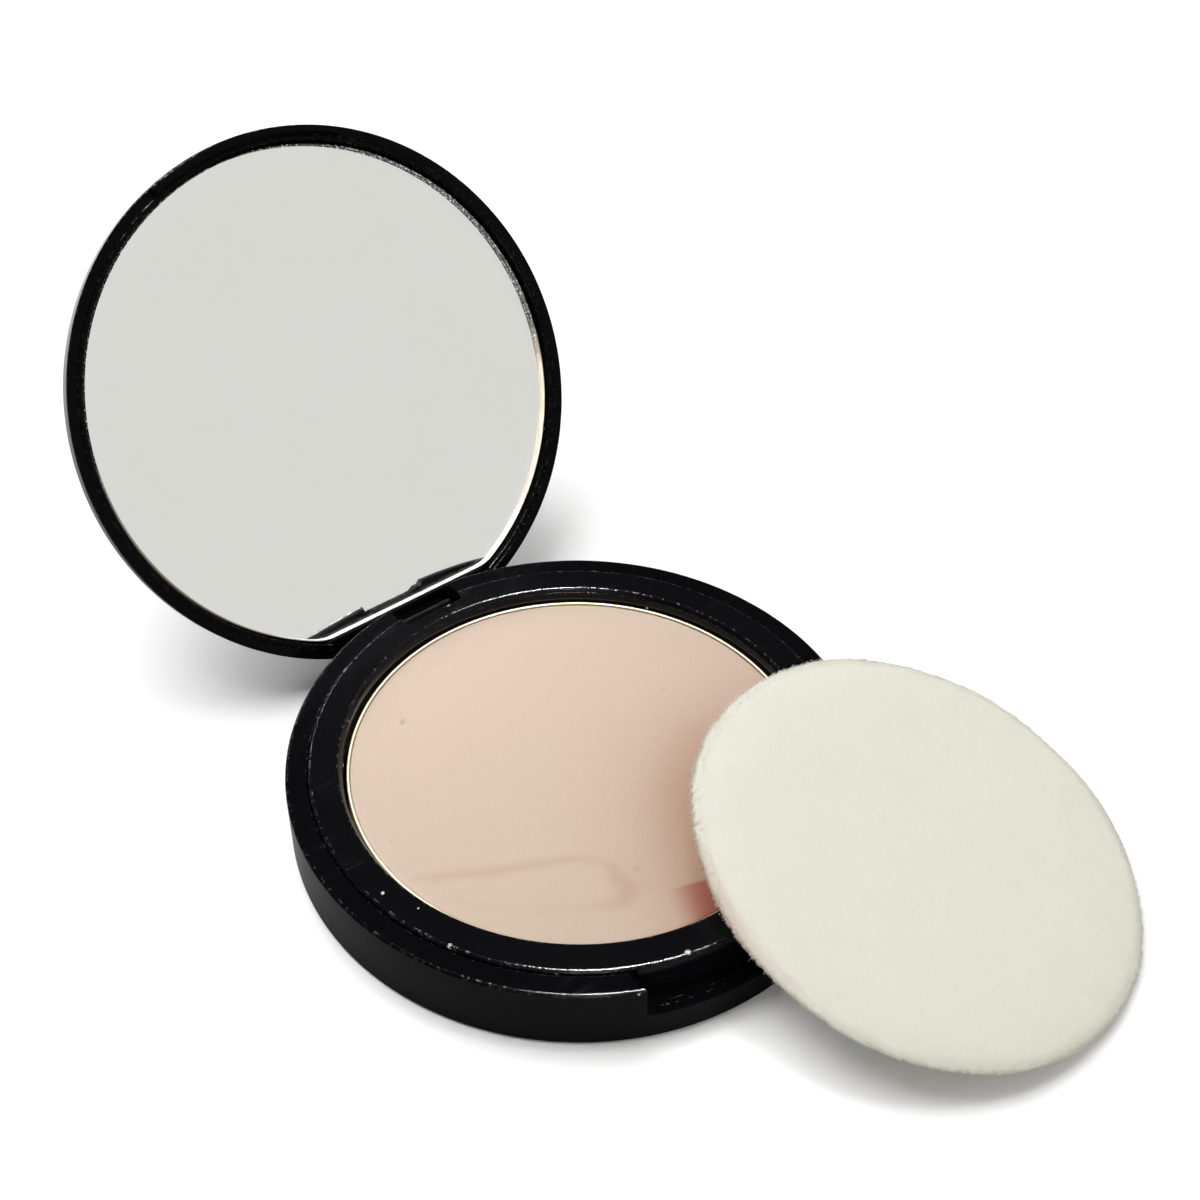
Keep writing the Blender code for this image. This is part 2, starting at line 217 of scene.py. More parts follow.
def surface(name, grid, edge=None, sharp=38):
    """A closed mesh from a grid of points (rows, columns, 3) whose columns join round.

    A first or last row that has shrunk to a point becomes a single vertex. The faces are turned over if
    the enclosed volume comes out negative.
    edge is a value per row kept as the attribute "edge", for wear on rounded corners.
    """
    rows, across = grid.shape[:2]
    index = np.arange(rows * across).reshape(rows, across)
    for row in (0, rows - 1):
        if np.ptp(grid[row], axis=0).max() < 1e-7:
            index[row] = index[row, 0]
    lower, upper = index[:-1], index[1:]
    quads = np.stack((lower, np.roll(lower, -1, 1), np.roll(upper, -1, 1), upper), axis=-1).reshape(-1, 4)
    points = grid.reshape(-1, 3)
    a, b, c, d = (points[quads[:, k]] for k in range(4))
    volume = np.einsum("ij,ij->i", a, np.cross(b, c)).sum() + np.einsum("ij,ij->i", a, np.cross(c, d)).sum()
    if volume < 0:
        quads = quads[:, ::-1]
    used, compact = np.unique(quads, return_inverse=True)
    compact = compact.reshape(-1, 4)
    flat = (compact == np.roll(compact, 1, axis=1)).any(axis=1)
    faces = compact[~flat].tolist()
    fans = compact[flat]
    repeat = (fans == np.roll(fans, 1, axis=1)).argmax(axis=1)
    faces += fans[np.arange(4) != repeat[:, None]].reshape(-1, 3).tolist()
    mesh = bpy.data.meshes.new(name)
    mesh.from_pydata(points[used].tolist(), [], faces)
    if edge is not None:
        mark(mesh, "edge", np.repeat(edge, across)[used])
    mesh.shade_smooth()
    mesh.set_sharp_from_angle(angle=math.radians(sharp))
    mesh.update()
    return stand(name, mesh)


def capped(sections):
    """Rows of a closed profile carried along a path, with both ends drawn in to their middle as a pole."""
    ends = sections[[0, -1]].mean(axis=1, keepdims=True)
    first = ends[0] + (sections[0] - ends[0]) * np.array((0.98, 0.0))[:, None, None]
    last = ends[1] + (sections[-1] - ends[1]) * np.array((0.98, 0.0))[:, None, None]
    return np.concatenate((first[::-1], sections, last))


def settle(piece, material, body, slot, *nodes):
    """Gives a piece its material and its body, and hides the nodes that it stands for; slot is not used."""
    piece.data.materials.append(material)
    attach(piece, body)
    if nodes:
        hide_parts(*nodes)
    return piece


# ---- shader helpers


def feed(node, values):
    """Sets a node's inputs by name or number: a socket is joined, anything else becomes the value."""
    for key, value in values.items():
        if isinstance(value, bpy.types.NodeSocket):
            node.id_data.links.new(value, node.inputs[key])
        else:
            node.inputs[key].default_value = value
    return node


def add(kind, values, tree=None, **settings):
    """A new shader node, in the given tree or else in the one that its input sockets come from."""
    sockets = [value for value in values.values() if isinstance(value, bpy.types.NodeSocket)]
    node = (tree or sockets[0].id_data).nodes.new("ShaderNode" + kind)
    for key, value in settings.items():
        setattr(node, key, value)
    return feed(node, values)


def maths(operation, first, second=0.0, third=0.0):
    """One Math node."""
    return add("Math", {0: first, 1: second, 2: third}, operation=operation).outputs[0]


def times(first, second):
    """Two values multiplied."""
    return maths("MULTIPLY", first, second)


def times_plus(first, second, third):
    """Two values multiplied, and a third added."""
    return maths("MULTIPLY_ADD", first, second, third)


def mix(share, one, two):
    """Mixes two colours, each a socket or red, green and blue, by a share from 0 to 1."""
    one, two = (side if isinstance(side, bpy.types.NodeSocket) else (*side, 1.0) for side in (one, two))
    return add("Mix", {0: share, 6: one, 7: two}, data_type="RGBA").outputs[2]


def remap(value, low, high, to_low=0.0, to_high=1.0):
    """Carries low..high to to_low..to_high along an S-shaped curve."""
    values = {0: value, 1: low, 2: high, 3: to_low, 4: to_high}
    return add("MapRange", values, interpolation_type="SMOOTHSTEP").outputs[0]


def clouds(vector, scale, detail, **more):
    """One Noise texture."""
    return add("TexNoise", {"Vector": vector, "Scale": scale, "Detail": detail, **more}).outputs[0]


def axis(vector, number):
    """One number of a vector: 0, 1 or 2 for X, Y or Z."""
    return add("SeparateXYZ", {0: vector}).outputs[number]


def along(vector, way):
    """How far a vector reaches along a way."""
    return add("VectorMath", {0: vector, 1: way}, operation="DOT_PRODUCT").outputs["Value"]


def attribute(spot, name):
    """A value that the mesh carries at its points, in the same tree as another socket."""
    return add("Attribute", {}, spot.id_data, attribute_name=name, attribute_type="GEOMETRY").outputs["Fac"]


def bump(height, strength, distance):
    """A normal that a height tilts."""
    return add("Bump", {"Height": height, "Strength": strength, "Distance": distance}).outputs[0]


def new_group(name, outputs, **inputs):
    """A shader group's inputs, a vector and the named numbers, and its output node for the named values."""
    group = bpy.data.node_groups.new(name, "ShaderNodeTree")
    group.interface.new_socket("Vector", in_out="INPUT", socket_type="NodeSocketVector")
    for title, value in inputs.items():
        group.interface.new_socket(title, in_out="INPUT", socket_type="NodeSocketFloat").default_value = value
    for title in outputs:
        group.interface.new_socket(title, in_out="OUTPUT", socket_type="NodeSocketFloat")
    given = list(group.nodes.new("NodeGroupInput").outputs)[:-1]
    return given, group.nodes.new("NodeGroupOutput")


def dust_group():
    """Dust: one speck in some cells of a cell pattern, of a size that differs from cell to cell."""
    given, out = new_group("dust_specks", ["Mask"], Scale=400.0, Amount=0.1, Size=0.2)
    where, scale, amount, size = given
    cells = add("TexVoronoi", {"Vector": where, "Scale": scale}).outputs
    random = add("SeparateColor", {0: cells["Color"]}).outputs
    ragged = remap(clouds(where, 9000.0, 2.0), 0.3, 0.7, 0.4, 1.5)
    inside = maths("LESS_THAN", cells["Distance"], times(times(random[1], size), ragged))
    return feed(out, {"Mask": times(maths("LESS_THAN", random[0], amount), inside)}).id_data


def scuff_group():
    """Handling marks: two long-drawn noises crossed, kept only where they pass through a thin band."""
    given, out = new_group("fine_scuffs", ["Mask"], Scale=60.0, Width=0.02)
    where, scale, width = given
    masks = []
    for turn, squeeze in ((0.5, 14.0), (2.1, 18.0)):
        values = {"Vector": where, "Rotation": (0.2, turn, turn), "Scale": (1.0, squeeze, 1.0)}
        field = clouds(add("Mapping", values).outputs[0], scale, 1.5)
        away = maths("ABSOLUTE", maths("SUBTRACT", field, 0.5))
        masks.append(maths("LESS_THAN", away, width))
    patches = remap(clouds(where, scale, 2.0), 0.5, 0.62)
    return feed(out, {"Mask": times(maths("MAXIMUM", *masks), patches)}).id_data


def grain_group():
    """Grain: a fine noise for height and a broad one, thirty times larger, for mottled colour."""
    given, out = new_group("fine_grain", ["Height", "Mottle"], Scale=3000.0)
    where, scale = given
    broad = clouds(where, maths("DIVIDE", scale, 30.0), 3.0)
    return feed(out, {"Height": clouds(where, scale, 4.0), "Mottle": broad}).id_data


def wear_group():
    """Edge wear: the piece's own edge value, broken up by noise."""
    given, out = new_group("edge_wear", ["Mask"], Scale=900.0, Edge=0.0, Amount=0.5)
    where, scale, edge, amount = given
    start = maths("SUBTRACT", 0.75, times(amount, 0.3))
    broken = maths("GREATER_THAN", clouds(where, scale, 5.0), start)
    return feed(out, {"Mask": times(broken, edge)}).id_data


DUST, SCUFFS, GRAIN, WEAR = dust_group(), scuff_group(), grain_group(), wear_group()


def placed(group, vector, **values):
    """The outputs of a shared group, placed in a material with that material's own values."""
    return add("Group", {"Vector": vector, **values}, node_tree=group).outputs


def new_material(name):
    """A material with one Principled BSDF, and the Object coordinates that its patterns read."""
    material = bpy.data.materials.new(name)
    material.use_nodes = True
    return material, add("TexCoord", {}, material.node_tree).outputs["Object"]


def finish(material, **sockets):
    """Feeds the inputs of a material's Principled BSDF, named with underscores for blanks."""
    values = {key.replace("_", " "): value for key, value in sockets.items()}
    feed(material.node_tree.nodes["Principled BSDF"], values)
    return material


def gloss_black(name, dusty, depth, shine):
    """Moulded gloss black: dust specks, fine scuffs, corners rubbed by wear and a faint ripple of the mould;
    depth darkens the black piece by piece, a painted shade.
    """
    material, spot = new_material(name)
    small = placed(DUST, spot, Scale=520.0, Amount=dusty, Size=0.15)[0]
    large = placed(DUST, spot, Scale=170.0, Amount=dusty, Size=0.036)[0]
    dust = maths("MAXIMUM", small, large)
    scuffs = placed(SCUFFS, spot, Scale=55.0, Width=0.006)[0]
    edge = attribute(spot, "edge")
    worn = placed(WEAR, spot, Scale=1500.0, Edge=edge, Amount=0.6)[0]
    grain = placed(GRAIN, spot, Scale=1800.0)
    # depth scales the black of each piece: painted shade, darker for some pieces of the same plastic.
    darkest = (0.0028 * depth, 0.0028 * depth, 0.0038 * depth)
    palest = (0.0045 * depth, 0.0045 * depth, 0.0055 * depth)
    body = mix(grain["Mottle"], darkest, palest)
    rubbed = mix(times(worn, 0.12), body, (0.06, 0.058, 0.055))
    specked = mix(times(dust, 0.85), rubbed, (0.62, 0.60, 0.58))
    rough = times_plus(worn, 0.25, times_plus(scuffs, 0.12, 0.10))
    nicks = times(times(edge, 40.0), grain["Height"])
    height = maths("ADD", maths("ADD", grain["Mottle"], dust), nicks)
    return finish(
        material, IOR=1.5, Specular_IOR_Level=shine, Base_Color=specked,
        Roughness=times_plus(dust, 0.5, rough), Normal=bump(height, 0.08, 0.00005))


def polished_outside(material):
    """Polishes the lid's cover past its rim's plane, with a coat that starts 0.3 mm behind it."""
    outward = (0.0, math.sin(OPEN_ANGLE), math.cos(OPEN_ANGLE))
    depth = along(add("TexCoord", {}, material.node_tree).outputs["Object"], outward)
    rim = HINGE_Y * outward[1] + HINGE_Z * outward[2] + LID_RIM - HINGE_Z
    return finish(material, Coat_Weight=remap(depth, rim + 0.3 * MM, rim + 0.9 * MM, 0.0, 0.5))


def powder_material():
    """Pressed powder: peach beige, pinker to the front right, with grain, specks and streaks, and a painted
    brown and red shade beside the puff.
    """
    material, spot = new_material("pressed_powder")
    grain = placed(GRAIN, spot, Scale=5200.0)
    across = add("SeparateXYZ", {0: spot}).outputs
    lean = maths("SUBTRACT", times(across[0], 0.8), across[1])
    broad = maths("SUBTRACT", clouds(spot, 55.0, 3.0, Distortion=0.6), 0.5)
    tone = times_plus(broad, 0.7, remap(lean, -0.012, 0.034))
    colour = mix(tone, (0.483, 0.382, 0.303), (0.472, 0.360, 0.293))
    colour = mix(remap(grain["Height"], 0.35, 0.7, 0.0, 0.3), colour, (0.53, 0.445, 0.37))
    specks = placed(DUST, spot, Scale=420.0, Amount=0.02, Size=0.12)[0]
    colour = mix(times(specks, 0.4), colour, (0.36, 0.24, 0.17))
    rubbed = attribute(spot, "rubbed")
    colour = mix(rubbed, colour, (0.42, 0.295, 0.22))
    # Painted shade of the puff: brown beside its edge here, and red below the stroke in the next mix.
    colour = mix(attribute(spot, "worn"), colour, (0.31, 0.15, 0.07))
    return finish(
        material, Specular_IOR_Level=0.03, Sheen_Weight=0.02,
        Base_Color=mix(attribute(spot, "damp"), colour, (0.27, 0.07, 0.045)),
        Roughness=times_plus(rubbed, -0.2, 0.88), Normal=bump(grain["Height"], 0.25, 0.00006))


def pan_material():
    """Drawn pan: pale gold lacquer with fine grain and a trace of powder."""
    material, spot = new_material("pan_metal")
    grain = placed(GRAIN, spot, Scale=2600.0)
    body = mix(grain["Mottle"], (0.42, 0.35, 0.24), (0.47, 0.41, 0.30))
    powdery = placed(DUST, spot, Scale=1500.0, Amount=0.3, Size=0.5)[0]
    return finish(
        material, Metallic=0.3, Specular_IOR_Level=0.15,
        Base_Color=mix(powdery, body, (0.50, 0.42, 0.33)),
        Roughness=times_plus(powdery, 0.3, 0.50), Normal=bump(grain["Height"], 0.15, 0.00003))


def silver_material():
    """Silver coat: nearly perfect, with a breath of unevenness."""
    material, spot = new_material("mirror_silver")
    haze = clouds(spot, 45.0, 2.0, Distortion=1.0)
    silver = mix(haze, (0.955, 0.955, 0.935), (0.965, 0.965, 0.95))
    return finish(material, Metallic=1.0, Roughness=0.0, Base_Color=silver)


def pane_material():
    """Clear glass with the faintest green and a few dust specks."""
    material, spot = new_material("mirror_glass")
    specks = placed(DUST, spot, Scale=170.0, Amount=0.02, Size=0.03)[0]
    clear = mix(times(specks, 0.3), (0.985, 0.99, 0.985), (0.6, 0.6, 0.58))
    return finish(material, IOR=1.5, Roughness=0.0, Transmission_Weight=1.0, Base_Color=clear)


def ground_glass_material():
    """The ground edge of the glass: pitted white by the hinge, cream beside it as a painted reflection of the
    powder, dark grey with painted glints above; the whole edge glows faintly, a painted glow.
    """
    material, spot = new_material("ground_glass")
    grain = placed(GRAIN, spot, Scale=3500.0)
    pits = remap(grain["Height"], 0.45, 0.7)
    height = axis(spot, 2)
    # White by the hinge; cream above it, a painted reflection of the powder.
    cream = mix(remap(height, 0.007, 0.013), (0.74, 0.74, 0.72), (0.62, 0.53, 0.43))
    # Bright spots on near black higher up: painted glints.
    glint_spots = remap(grain["Height"], 0.56, 0.62)
    painted_glints = mix(glint_spots, (0.03, 0.03, 0.03), (0.80, 0.82, 0.84))
    uneven = times_plus(maths("SUBTRACT", grain["Mottle"], 0.5), 0.02, height)
    pitted = mix(times(pits, 0.35), cream, (0.55, 0.50, 0.42))
    toned = mix(remap(uneven, 0.026, 0.036), pitted, painted_glints)
    # The edge's own colour also glows: a painted glow, though it is no lamp.
    return finish(
        material, Specular_IOR_Level=0.08, Base_Color=toned, Emission_Color=toned, Emission_Strength=0.12,
        Roughness=times_plus(pits, 0.3, 0.25))


def velour_material(name, painted_lift):
    """Velour: ivory pile whose tone and nap drift over the puff, a shade creamier towards the edge; the edge
    and the pile glow faintly and the pile is lightened, painted light that lifts their shade.
    """
    material, spot = new_material(name)
    strand = placed(GRAIN, spot, Scale=4200.0)["Height"]
    nap = clouds(spot, 120.0, 4.0, Distortion=0.8)
    rim = attribute(spot, "edge")
    colour = mix(nap, (0.615, 0.605, 0.535), (0.65, 0.64, 0.57))
    colour = mix(remap(strand, 0.62, 0.35, 0.0, 0.35), colour, (0.56, 0.54, 0.45))
    colour = mix(times(rim, 0.3), colour, (0.66, 0.64, 0.54))
    # Painted light: the lift lightens the pile's colour.
    colour = mix(painted_lift, colour, (0.69, 0.675, 0.585))
    return finish(
        material, Specular_IOR_Level=0.04, Sheen_Weight=0.30, Sheen_Roughness=0.5,
        Sheen_Tint=(1.0, 0.98, 0.90, 1.0),
        Base_Color=mix(attribute(spot, "soil"), colour, (0.42, 0.22, 0.16)),
        # Painted glow at the puff's edge and in its pile, though neither is a lamp.
        Emission_Color=mix(maths("MAXIMUM", rim, painted_lift), (0, 0, 0), (0.72, 0.70, 0.62)),
        Emission_Strength=0.08, Roughness=remap(nap, 0.3, 0.7, 0.88, 0.98),
        Normal=bump(times_plus(nap, 0.4, strand), 0.3, 0.00015))


def steel_material():
    """Drawn steel wire: grey, with fine lines and a dull film of oil."""
    material, spot = new_material("pin_steel")
    grain = placed(GRAIN, spot, Scale=4000.0)
    scuffs = placed(SCUFFS, spot, Scale=300.0, Width=0.03)[0]
    return finish(
        material, Metallic=1.0,
        Base_Color=mix(grain["Mottle"], (0.52, 0.51, 0.49), (0.62, 0.60, 0.57)),
        Roughness=times_plus(scuffs, 0.2, 0.25), Normal=bump(grain["Height"], 0.1, 0.00003))


def pulp_material(name, light, dark, scale):
    """Paper or foam: pale, with fibres or cells of the given scale."""
    material, spot = new_material(name)
    grain = placed(GRAIN, spot, Scale=scale)
    cells = add("TexVoronoi", {"Vector": spot, "Scale": scale * 0.8}).outputs
    body = mix(remap(cells["Distance"], 0.1, 0.6), dark, light)
    return finish(
        material, Specular_IOR_Level=0.25,
        Base_Color=mix(times(grain["Mottle"], 0.4), body, dark),
        Roughness=remap(grain["Height"], 0.3, 0.7, 0.65, 0.85),
        Normal=bump(grain["Height"], 0.3, 0.0001))


# ---- the base


def carve(grid, contour, half, floor, facing, inner, outer):
    """Cuts an opening through the wall of a turned grid.

    Contour points above the floor are carried to a straight ledge at floor height between the inner and
    outer radius, in proportion to their length along the contour. The share carried rises from 0 to 1
    over BLEND as the point comes inside half the opening's width, on the side that facing (+1 or -1 along
    Y) names.
    """
    r, z = contour.T
    length = np.concatenate(([0.0], np.hypot(np.diff(r), np.diff(z)).cumsum()))
    carved = np.where((z >= floor - 1e-9) & (r > inner - 1e-9))[0]
    t = (length[carved] - length[carved[0]]) / (length[carved[-1]] - length[carved[0]])
    target = np.stack((inner + t * (outer - inner), np.full(len(t), floor)), axis=-1)
    part = grid[carved]
    share = smooth((half - np.abs(part[..., 0])) / BLEND) * (part[..., 1] * facing > 0)
    radius = np.hypot(part[..., 0], part[..., 1])
    scale = 1 + share * (target[:, :1] / radius - 1)
    part[..., :2] *= scale[..., None]
    part[..., 2] += share * (target[:, 1:] - part[..., 2])
    grid[carved] = part
    return grid


def base_shell():
    """Outer base: a turned wall, soft at its top, carved in front for the thumb and behind for the hinge."""
    corners = [
        (0, FLOOR_TOP), (LIP_INNER, FLOOR_TOP), (LIP_INNER, NOTCH_FLOOR), (LIP_INNER, RECESS_FLOOR),
        (LIP_INNER, LIP_HEIGHT, 0.14 * MM), (CASE_RADIUS, LIP_HEIGHT, 0.42 * MM),
        (CASE_RADIUS, RECESS_FLOOR), (CASE_RADIUS, NOTCH_FLOOR), (CASE_RADIUS, 0, 0.6 * MM),
        (LABEL_RADIUS, 0, 0.15 * MM), (LABEL_RADIUS, LABEL_SEAT, 0.1 * MM), (0, LABEL_SEAT),
    ]
    contour, edge = outline(corners, 1.2 * MM)
    crowd = both_sides(180, 25.4, 28.2, 0.06) + both_sides(360, 7.2, 8.4, 0.05)
    grid = turned(contour, columns(1.0, crowd))
    grid = carve(grid, contour, RECESS_HALF, RECESS_FLOOR, -1, LIP_INNER, CASE_RADIUS)
    grid = carve(grid, contour, NOTCH_HALF, NOTCH_FLOOR, 1, LIP_INNER, CASE_RADIUS)
    return surface("base_shell_body", grid, edge)


def base_insert():
    """Inner ring and well: turned, its rim pressed in behind for the hinge, with a catch bead in front."""
    bead_low, bead_high, bead_half = 8.75 * MM, 9.35 * MM, 5.0 * MM
    corners = [
        (0, WELL_FLOOR), (WELL_RADIUS, WELL_FLOOR, 0.2 * MM), (WELL_RADIUS, 7.9 * MM, 0.4 * MM),
        (30.35 * MM, 9.15 * MM, 0.5 * MM), (30.75 * MM, RING_HEIGHT, 0.28 * MM),
        (RING_OUTER, RING_HEIGHT, 0.42 * MM), (RING_OUTER, bead_high), (RING_OUTER, bead_low),
        (RING_OUTER, WEB_BOTTOM, 0.1 * MM), (0, WEB_BOTTOM),
    ]
    contour, edge = outline(corners, 0.9 * MM)
    crowd = both_sides(360, 7.2, 9.4, 0.05) + both_sides(180, 7.6, 8.8, 0.1)
    grid = turned(contour, columns(1.0, crowd))
    x, y, z = np.moveaxis(grid, -1, 0)
    # Behind, radii past 31.7 mm are drawn in so that the ring's back is flat at the notch's front.
    start = 31.7 * MM
    radius = np.hypot(x, y)
    forward = np.maximum(y, 1e-9) / np.maximum(radius, 1e-9)
    squeeze = (NOTCH_FRONT / np.maximum(forward, 0.5) - start) / (RING_OUTER - start)
    pressed = start + (radius - start) * squeeze
    share = smooth((NOTCH_HALF - np.abs(x)) / BLEND) * (y > 0) * (radius > start)
    grid[..., :2] *= (1 + share * (pressed / np.maximum(radius, 1e-9) - 1))[..., None]
    # In front, the bead swells by 0.2 mm along a half wave between its two heights.
    rise = np.clip((z - bead_low) / (bead_high - bead_low), 0, 1)
    swell = 0.2 * MM * np.sin(np.pi * rise) * smooth((bead_half - np.abs(x)) / (0.6 * MM))
    swell = swell * (y < 0) * (radius > RING_OUTER - 0.01 * MM)
    grid[..., :2] *= (1 + swell / np.maximum(radius, 1e-9))[..., None]
    return surface("base_insert_ring", grid, edge)


def pan():
    """Thin round pan: a turned cup whose rim is rolled over to a full round."""
    radius, bottom, top = PAN_BOX[1].x, PAN_BOX[0].z, PAN_BOX[1].z
    wall = 0.35 * MM
    corners = [
        (0, bottom + wall), (radius - wall, bottom + wall, 0.2 * MM), (radius - wall, top, 0.13 * MM),
        (radius, top, 0.13 * MM), (radius, bottom, 0.3 * MM), (0, bottom),
    ]
    contour, edge = outline(corners, 2.5 * MM)
    return surface("pan_cup", turned(contour, columns(1.0)), edge)


# The wiped finger mark in the powder, in millimetres: the line it follows, from its left tip along the
# upper side, round the right end and back below; then its darkness and half width by share of its length.
WIPE_LINE = (
    (-28.3, -3.3), (-24.3, -5.6), (-20.6, -7.9), (-16.6, -9.8), (-13.0, -11.6), (-10.8, -12.7),
    (-8.6, -14.6), (-7.6, -16.5), (-8.2, -18.7), (-8.0, -20.4), (-9.7, -21.4), (-11.6, -20.7),
    (-14.7, -19.2), (-18.5, -16.4), (-23.8, -11.6), (-26.6, -7.3),
)
WIPE_SHARE = (0.0, 0.06, 0.20, 0.36, 0.44, 0.49, 0.56, 0.61, 0.66, 0.80, 1.0)
WIPE_DARK = (0.1, 0.50, 0.55, 0.50, 0.28, 0.55, 0.75, 0.48, 0.20, 0.14, 0.06)
WIPE_WIDE = (0.6, 0.95, 0.85, 0.75, 0.9, 1.4, 1.3, 1.1, 0.6, 0.6, 0.6)
# Along this line, at the puff's edge, the powder takes a painted brown shade, and below the stroke a painted
# reddish shade begins.
PUFF_SHADE_LINE = ((32, -1), (24.8, -3.6), (14.5, -7.2), (7.3, -12.6), (2.5, -19.2), (-0.4, -24.4), (-3.4, -31.2))
STROKE_LINE = ((-8.2, -21.8), (-4.7, -23.0), (-0.9, -24.3), (4.0, -26.5))
# Nicks: place, half width and depth in millimetres.
NICKS = (
    (-14.5, 19.1, 0.35, 0.30), (-5.7, -18.7, 0.5, 0.14), (16.7, 2.7, 0.25, 0.12), (-27.0, 3.0, 0.25, 0.10),
)
# How far the painted brown shade and the painted red shade reach from the line, and how strong they are.
SHADE_REACH, SHADE_START, SHADE_RISE, SHADE_SHARE = 5.2 * MM, 0.10, 0.52, 0.82
RED_SHADE_REACH, RED_SHADE_SHARE = 4.6 * MM, 0.92


def from_line(line, x, y):
    """Distance of each point from a line through corners, and its foot's share of the line's length."""
    corners = np.array(line, float) * MM
    steps = np.diff(corners, axis=0)
    sizes = np.hypot(*steps.T)
    passed = np.concatenate(([0.0], sizes.cumsum()))
    nearest, along = np.full(x.shape, np.inf), np.zeros(x.shape)
    for corner, step, size, before in zip(corners, steps, sizes, passed):
        t = np.clip(((x - corner[0]) * step[0] + (y - corner[1]) * step[1]) / size**2, 0, 1)
        away = np.hypot(x - corner[0] - t * step[0], y - corner[1] - t * step[1])
        along = np.where(away < nearest, (before + t * size) / passed[-1], along)
        nearest = np.minimum(nearest, away)
    return nearest, along


def wiped(x, y):
    """Darkness of the wiped mark: a bell curve across the mark's line, wandering with soft noise."""
    away, along = from_line(WIPE_LINE, x, y)
    wide = np.interp(along, WIPE_SHARE, WIPE_WIDE) * MM * (1 + 0.12 * noise(x, y, 5 * MM, 1))
    away = away + 0.05 * MM * noise(x, y, 3 * MM, 2)
    return np.exp(-((away / wide) ** 2)) * np.interp(along, WIPE_SHARE, WIPE_DARK)


def nicked(x, y):
    """Depth of the nicks: round bell-shaped dimples."""
    depth = np.zeros(x.shape)
    for spot_x, spot_y, wide, deep in NICKS:
        depth += deep * MM * np.exp(-((np.hypot(x - spot_x * MM, y - spot_y * MM) / (wide * MM)) ** 2))
    return depth


def powder():
    """Pressed powder: a soft-shouldered disc with a wiped mark, faint strokes, nicks and a painted shade
    beside the puff.

    The surface sinks with the wiped mark and the nicks and drifts with broad noise. The painted brown shade
    and the painted red shade beside the puff fade with the distance from a line; the red shade begins below a
    stroke that runs up to it.
    """
    top, bottom = POWDER_BOX[1].z, POWDER_BOX[0].z
    radius = PAN_BOX[1].x - 0.42 * MM
    inner = np.linspace(0, radius - 0.5 * MM, 190)
    corners = [(radius - 0.5 * MM, top), (radius, top, 0.3 * MM), (radius, bottom), (0, bottom)]
    shoulder, _ = outline(corners, 3 * MM)
    contour = np.concatenate((np.stack((inner, np.full(190, top)), -1), shoulder[1:]))
    grid = turned(contour, columns(1.0))
    x, y = grid[..., 0], grid[..., 1]
    faces_up = grid[..., 2] > top - 0.29 * MM
    stroke_away, _ = from_line(STROKE_LINE, x, y)
    strokes = noise(x * 0.35 + y, (y - x * 0.55) * 6, 9 * MM, 3)
    height = -0.02 * MM * wiped(x, y) + 0.004 * MM * strokes + 0.012 * MM * noise(x, y, 14 * MM, 4)
    height = height - nicked(x, y) - 0.03 * MM * np.exp(-((stroke_away / (0.25 * MM)) ** 2))
    shoulder_fade = smooth((radius - np.hypot(x, y)) / (0.8 * MM))
    grid[..., 2] += np.where(faces_up, height * shoulder_fade, 0)
    piece = surface("powder_disc", grid, sharp=80)
    px, py, _ = read(piece.data.vertices).T
    # Painted shade of the puff on the powder: brown fading from its edge, stronger towards the front, and red
    # below the stroke.
    shade_distance, down = from_line(PUFF_SHADE_LINE, px, py)
    fading = np.exp(-((shade_distance / SHADE_REACH) ** 1.3)) * (1 + 0.05 * noise(px, py, 12 * MM, 7))
    worn = (SHADE_START + SHADE_RISE * smooth(down / 0.6)) * fading
    stroke_y = np.interp(px, *np.array(STROKE_LINE).T * MM)
    damp = 0.85 * smooth(1.05 - shade_distance / RED_SHADE_REACH) * smooth((stroke_y - py) / (0.7 * MM))
    rubbed = wiped(px, py) + nicked(px, py) / (0.3 * MM)
    for title, value in (("rubbed", rubbed), ("worn", worn * SHADE_SHARE), ("damp", damp * RED_SHADE_SHARE)):
        mark(piece.data, title, np.clip(value, 0, 1))
    return piece


def hinge_pin():
    """Steel pin: a turned rod with chamfered ends, laid along X through the hinge."""
    radius = (PIN_BOX[1].z - PIN_BOX[0].z) / 2
    half = PIN_BOX[1].x
    corners = [(0, -half), (radius, -half, 0.2 * MM), (radius, half, 0.2 * MM), (0, half)]
    contour, edge = outline(corners, 3 * MM)
    rod = turned(contour, columns(10.0))
    laid = np.stack((rod[..., 2], rod[..., 0] + HINGE_Y, rod[..., 1] + HINGE_Z), axis=-1)
    return surface("hinge_pin_rod", laid, edge)


# ---- the lid


def relief(x, y):
    """Height, lid closed, below which the lid's rear rim is cut so that it clears the base when it opens.

    It is the higher of the rim, a round relief about the pin, and the plane that the case's side makes
    when the lid is fully open; each acts only within the relief's half width.
    """
    back = y - HINGE_Y
    round_cut = HINGE_Z + np.sqrt(np.clip(RELIEF_RADIUS**2 - back**2, 0, None))
    side = np.sqrt(np.clip(RELIEF_CLEAR**2 - x**2, 0, None)) - HINGE_Y
    plane = HINGE_Z + (side - back * math.cos(OPEN_ANGLE)) / math.sin(OPEN_ANGLE)
    cut = np.clip(np.maximum(round_cut, plane), LID_RIM, 12.0 * MM)
    share = smooth((RELIEF_HALF - np.abs(x)) / BLEND) * (y > 0)
    return LID_RIM + share * (cut - LID_RIM)


def relieved(grid, top):
    """Squeezes what lies between the rim and top into the space above the relief."""
    rim = relief(grid[..., 0], grid[..., 1])
    above = (grid[..., 2] - LID_RIM) / (top - LID_RIM)
    grid[..., 2] = np.where(above < 1, rim + above * (top - rim), grid[..., 2])
    return grid


LID_CROWD = both_sides(180, 22.2, 24.2, 0.08) + both_sides(360, 20.8, 22.8, 0.08) + [(-20, 20, 0.5)]


